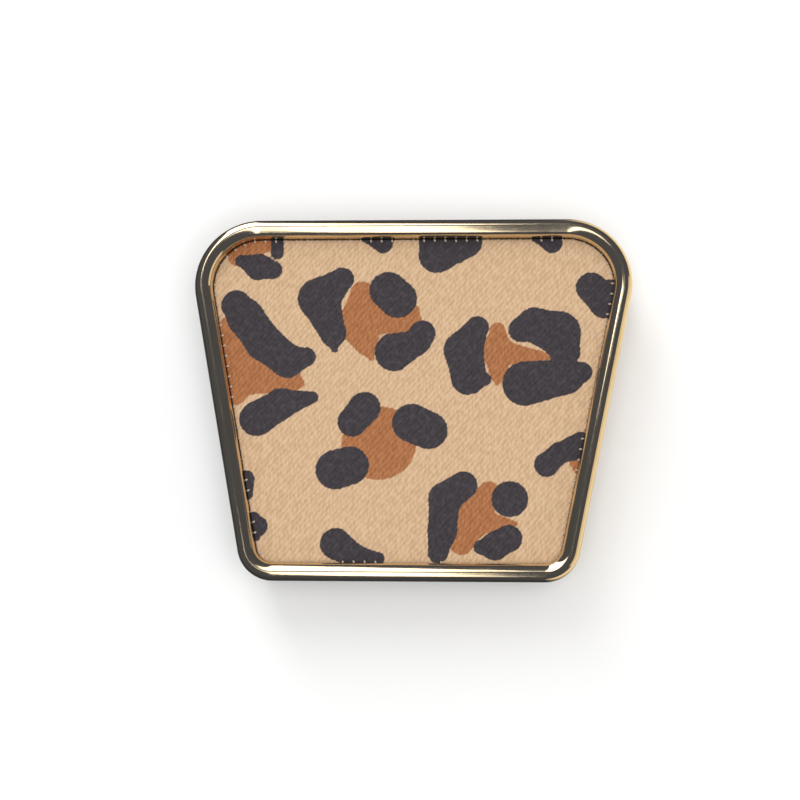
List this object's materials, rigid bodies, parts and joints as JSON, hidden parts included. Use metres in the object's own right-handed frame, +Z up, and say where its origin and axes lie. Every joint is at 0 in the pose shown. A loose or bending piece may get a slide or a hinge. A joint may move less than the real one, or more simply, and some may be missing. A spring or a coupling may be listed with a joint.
{
  "type": "pocket case with slant tweezers",
  "caption": "Slim tapered pocket case with a metal rim and leopard-print fabric panel, hinged to open on a mirror and a tray that holds mini slant tweezers.",
  "frame": {"origin": "centre of the closed case's box, on the plane it rests on", "axes": "+Z up through the lid, +X right along the hinge, +Y back towards the hinge and the wide edge"},
  "size_m": [0.08, 0.0666, 0.0153],
  "materials": {
    "gilt_metal": "polished pale gold plating",
    "print_twill": "matte printed twill, leopard print",
    "thread": "matte spun thread",
    "flock": "short black flock",
    "foam": "closed-cell foam",
    "card": "stiff backing card",
    "mirror": "silvered glass",
    "bezel": "glossy moulded plastic",
    "nickel": "bright nickel plating",
    "steel": "brushed stainless steel"
  },
  "bodies": {
    "base": {"base_rim": "gilt_metal", "base_pan": "gilt_metal", "base_board": "card", "base_cover": "print_twill", "base_stitching": "thread", "tray": "flock", "catch_magnets": "nickel", "hinge_pin": "nickel"},
    "lid": {"lid_rim": "gilt_metal", "lid_cover": "print_twill", "lid_stitching": "thread", "lid_padding": "foam", "lid_board": "card", "lid_plate": "gilt_metal", "mirror_tape": "foam", "lid_mirror": "mirror", "mirror_bezel": "bezel", "catch_keepers": "nickel"},
    "tweezers": {"tweezer_tail": "steel"},
    "tweezer_upper": {"tweezer_upper_arm": "steel"},
    "tweezer_lower": {"tweezer_lower_arm": "steel"}
  },
  "joints": [
    {"name": "lid_hinge", "type": "hinge", "parent": "base", "child": "lid", "pos_m": [0, 0.03185, 0.00915], "axis": [-1, 0, 0], "range_deg": [0, 115]},
    {"name": "tweezers_lift", "type": "slide", "parent": "base", "child": "tweezers", "axis": [0, 0, 1], "range_m": [0, 0.012]},
    {"name": "upper_squeeze", "type": "hinge", "parent": "tweezers", "child": "tweezer_upper", "pos_m": [-0.01995, 0.014, 0.0069], "axis": [0, 1, 0], "range_deg": [0, 1.8], "stiffness_Nm_per_rad": 0.3},
    {"name": "lower_squeeze", "type": "hinge", "parent": "tweezers", "child": "tweezer_lower", "pos_m": [-0.01995, 0.014, 0.0059], "axis": [0, 1, 0], "range_deg": [-1.8, 0], "stiffness_Nm_per_rad": 0.3}
  ],
  "couplings": [
    {"joint": "tweezers_lift", "follows": "lid_hinge", "m_per_rad": 0.005929},
    {"joint": "lower_squeeze", "follows": "upper_squeeze", "ratio": -1}
  ]
}
